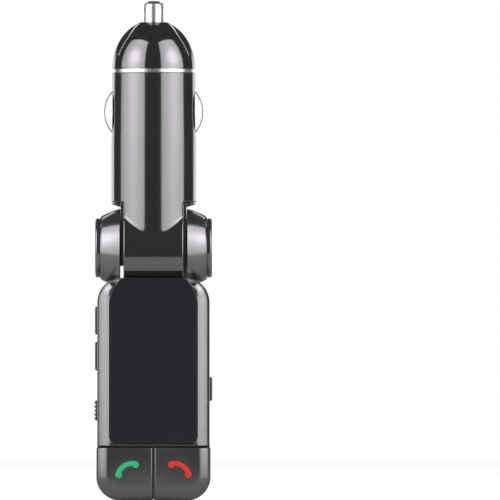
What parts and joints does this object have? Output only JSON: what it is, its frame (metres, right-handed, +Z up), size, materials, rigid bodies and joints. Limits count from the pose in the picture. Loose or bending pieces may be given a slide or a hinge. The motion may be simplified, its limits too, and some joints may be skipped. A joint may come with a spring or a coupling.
{
  "type": "car fm transmitter",
  "caption": "Car FM transmitter with a socket plug hinged to a display arm that has call keys, side controls, a USB socket and an audio jack.",
  "frame": {"origin": "on the plug's axis, at the middle of the barrel's plain stretch that the car's socket grips", "axes": "+Z up the plug's axis to its tip, +X to the right along the hinge, the display faces -Y"},
  "size_m": [0.0288, 0.0216, 0.1218],
  "materials": {
    "gloss_black": "high gloss black moulded plastic",
    "arm_black": "gloss charcoal moulded plastic",
    "window_black": "polished black acrylic",
    "key_grey": "satin dark grey moulded plastic",
    "side_grey": "satin black moulded plastic",
    "mark_green": "green inlay",
    "mark_red": "red inlay",
    "bright_chrome": "bright chrome plating",
    "nickel": "nickel plated",
    "spring_steel": "drawn spring wire",
    "brass": "turned brass",
    "zinc_steel": "zinc plated",
    "circuit_board": "green solder mask",
    "chip_black": "moulded package",
    "chip_ivory": "ceramic",
    "ferrite": "sintered ferrite",
    "can_aluminium": "drawn can",
    "acetal": "natural acetal",
    "fibre": "fibre washer",
    "lead_red": "insulated lead",
    "display_glass": "display glass in its frame",
    "shield_tin": "tinned shield",
    "tongue_white": "moulded insulator",
    "jack_black": "moulded housing"
  },
  "bodies": {
    "plug": {"barrel_front": "gloss_black", "barrel_rear": "gloss_black", "nose_cap": "gloss_black", "bright_ring": "bright_chrome", "tip_spring": "spring_steel", "spring_seat": "brass", "power_board": "circuit_board", "power_inductor": "ferrite", "filter_capacitor": "can_aluminium", "converter_chip": "chip_black", "chip_fuse": "chip_ivory", "plug_screw": "zinc_steel", "pivot_bush_left": "acetal", "pivot_bush_right": "acetal", "plug_lead": "lead_red", "friction_washer_left": "fibre", "friction_washer_right": "fibre", "retaining_clip_left": "spring_steel", "retaining_clip_right": "spring_steel"},
    "arm": {"hinge_cap_left": "arm_black", "hinge_cap_right": "arm_black", "arm_front": "arm_black", "arm_rear": "arm_black", "window": "window_black", "display_module": "display_glass", "main_board": "circuit_board", "radio_module": "shield_tin", "audio_chip": "chip_black", "microphone": "can_aluminium", "usb_shell": "shield_tin", "usb_tongue": "tongue_white", "audio_jack": "jack_black", "arm_lead": "lead_red", "answer_switch": "shield_tin", "hangup_switch": "shield_tin", "side_switch_upper": "shield_tin", "side_switch_lower": "shield_tin", "side_switch_right": "shield_tin", "slide_switch": "shield_tin", "arm_screws": "zinc_steel"},
    "tip": {"tip_contact": "nickel"},
    "ground_left": {"ground_contact_left": "nickel"},
    "ground_right": {"ground_contact_right": "nickel"},
    "answer": {"answer_key": "key_grey", "answer_mark": "mark_green"},
    "hangup": {"hangup_key": "key_grey", "hangup_mark": "mark_red"},
    "side_upper": {"side_key_upper": "side_grey"},
    "side_lower": {"side_key_lower": "side_grey"},
    "side_right": {"side_key_right": "side_grey"},
    "slider": {"power_slider": "side_grey"}
  },
  "joints": [
    {"name": "arm_hinge", "type": "hinge", "parent": "plug", "child": "arm", "pos_m": [0, 0, -0.01885], "axis": [1, 0, 0], "range_deg": [-30, 90]},
    {"name": "tip_press", "type": "slide", "parent": "plug", "child": "tip", "axis": [0, 0, -1], "range_m": [0, 0.003], "stiffness_N_per_m": 500, "springref_m": -0.002, "deforming": ["tip_spring"]},
    {"name": "ground_left_press", "type": "slide", "parent": "plug", "child": "ground_left", "axis": [1, 0, 0], "range_m": [0, 0.0018], "stiffness_N_per_m": 1500, "springref_m": -0.0005},
    {"name": "ground_right_press", "type": "slide", "parent": "plug", "child": "ground_right", "axis": [-1, 0, 0], "range_m": [0, 0.0018], "stiffness_N_per_m": 1500, "springref_m": -0.0005},
    {"name": "answer_press", "type": "slide", "parent": "arm", "child": "answer", "axis": [0, 1, 0], "range_m": [0, 0.0004], "stiffness_N_per_m": 1500, "springref_m": -0.0003},
    {"name": "hangup_press", "type": "slide", "parent": "arm", "child": "hangup", "axis": [0, 1, 0], "range_m": [0, 0.0004], "stiffness_N_per_m": 1500, "springref_m": -0.0003},
    {"name": "side_upper_press", "type": "slide", "parent": "arm", "child": "side_upper", "axis": [1, 0, 0], "range_m": [0, 0.0004], "stiffness_N_per_m": 1500, "springref_m": -0.0003},
    {"name": "side_lower_press", "type": "slide", "parent": "arm", "child": "side_lower", "axis": [1, 0, 0], "range_m": [0, 0.0004], "stiffness_N_per_m": 1500, "springref_m": -0.0003},
    {"name": "side_right_press", "type": "slide", "parent": "arm", "child": "side_right", "axis": [-1, 0, 0], "range_m": [0, 0.0004], "stiffness_N_per_m": 1500, "springref_m": -0.0003},
    {"name": "slider_slide", "type": "slide", "parent": "arm", "child": "slider", "axis": [0, 0, -1], "range_m": [0, 0.002]}
  ]
}
